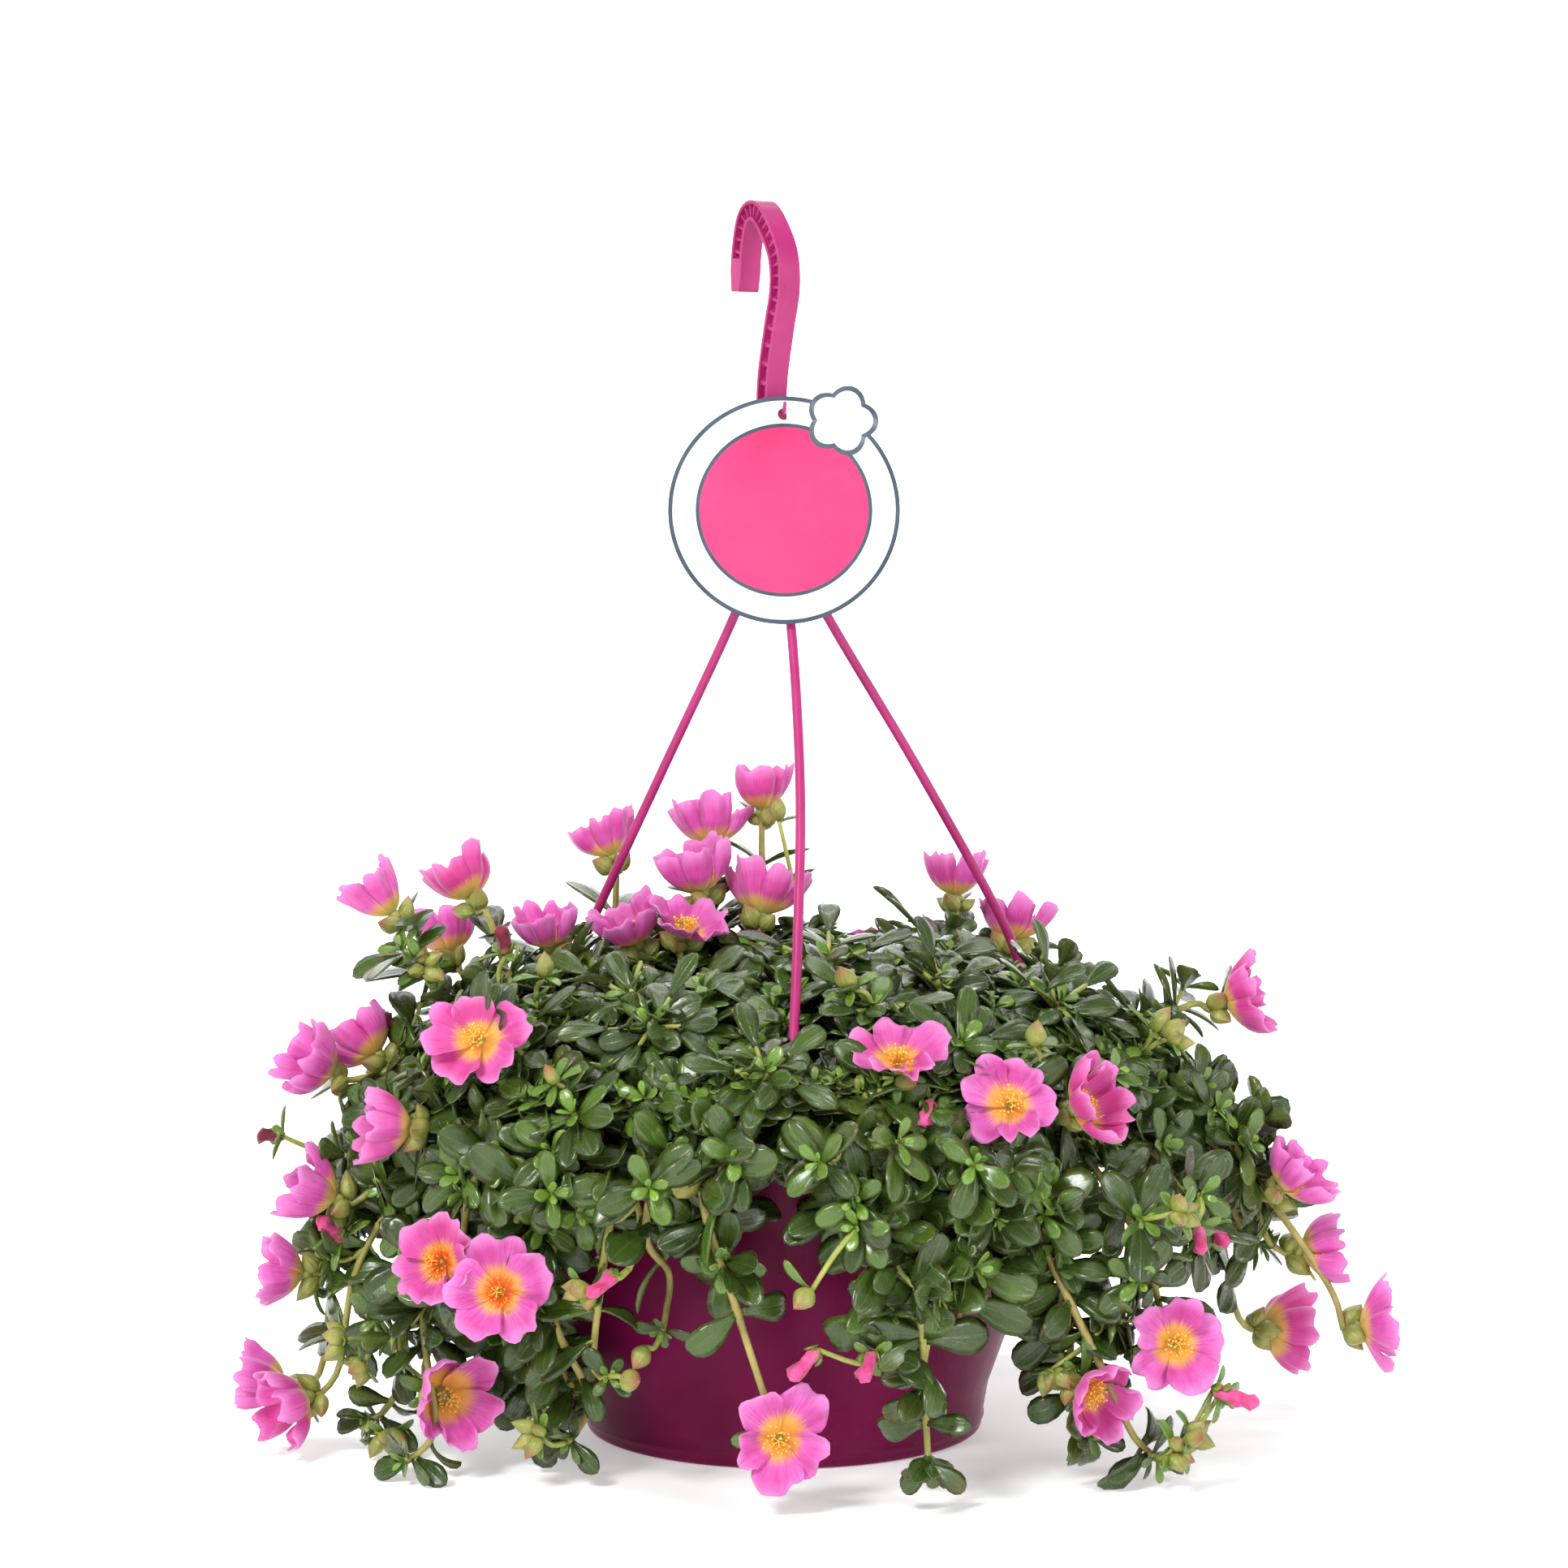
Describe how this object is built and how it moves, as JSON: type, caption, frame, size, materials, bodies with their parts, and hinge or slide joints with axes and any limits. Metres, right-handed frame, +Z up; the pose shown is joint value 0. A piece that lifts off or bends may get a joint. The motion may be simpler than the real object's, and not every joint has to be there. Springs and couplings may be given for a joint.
{
  "type": "potted portulaca",
  "caption": "Flowering portulaca overflowing a tapered plastic hanging pot that stands on its base, with its thin-armed hanger, channelled hook and round card tag.",
  "frame": {"origin": "middle of the pot's flat base, on the surface that the pot stands on", "axes": "+Z up along the pot's axis, -Y to the front, which the tag faces, +X to the right of someone who looks at that front"},
  "size_m": [0.5184, 0.3996, 0.5481],
  "materials": {
    "pot_plastic": "glossy, deep berry purple",
    "potting_soil": "loose, dark and matt",
    "hanger_plastic": "satin, magenta pink",
    "tag_card": "smooth coated card, printed with plain rings",
    "petals": "thin and satiny, pink with a yellow throat",
    "leaves": "fleshy, smooth and glossy"
  },
  "bodies": {
    "root": {"pot": "pot_plastic", "soil": "potting_soil", "hanger_hook": "hanger_plastic", "hanger_arm_front": "hanger_plastic", "hanger_arm_right": "hanger_plastic", "hanger_arm_left": "hanger_plastic", "tag": "tag_card", "bloom_01": "petals", "bloom_02": "petals", "bloom_03": "petals", "bloom_04": "petals", "bloom_05": "petals", "bloom_06": "petals", "bloom_07": "petals", "bloom_08": "petals", "bloom_09": "petals", "bloom_10": "petals", "bloom_11": "petals", "bloom_12": "petals", "bloom_13": "petals", "bloom_14": "petals", "bloom_15": "petals", "bloom_16": "petals", "bloom_17": "petals", "bloom_18": "petals", "bloom_19": "petals", "bloom_20": "petals", "bloom_21": "petals", "bloom_22": "petals", "bloom_23": "petals", "bloom_24": "petals", "bloom_25": "petals", "bloom_26": "petals", "bloom_27": "petals", "bloom_28": "petals", "bloom_29": "petals", "bloom_30": "petals", "bloom_31": "petals", "bloom_32": "petals", "bloom_33": "petals", "bloom_34": "petals", "bloom_35": "petals", "bloom_36": "petals", "bloom_37": "petals", "bloom_38": "petals", "leafy_stems_01": "leaves", "leafy_stems_02": "leaves", "leafy_stems_03": "leaves", "leafy_stems_04": "leaves", "leafy_stems_05": "leaves", "leafy_stems_06": "leaves", "leafy_stems_07": "leaves", "leafy_stems_08": "leaves", "leafy_stems_09": "leaves", "leafy_stems_10": "leaves", "leafy_stems_11": "leaves", "leafy_stems_12": "leaves"}
  },
  "joints": []
}
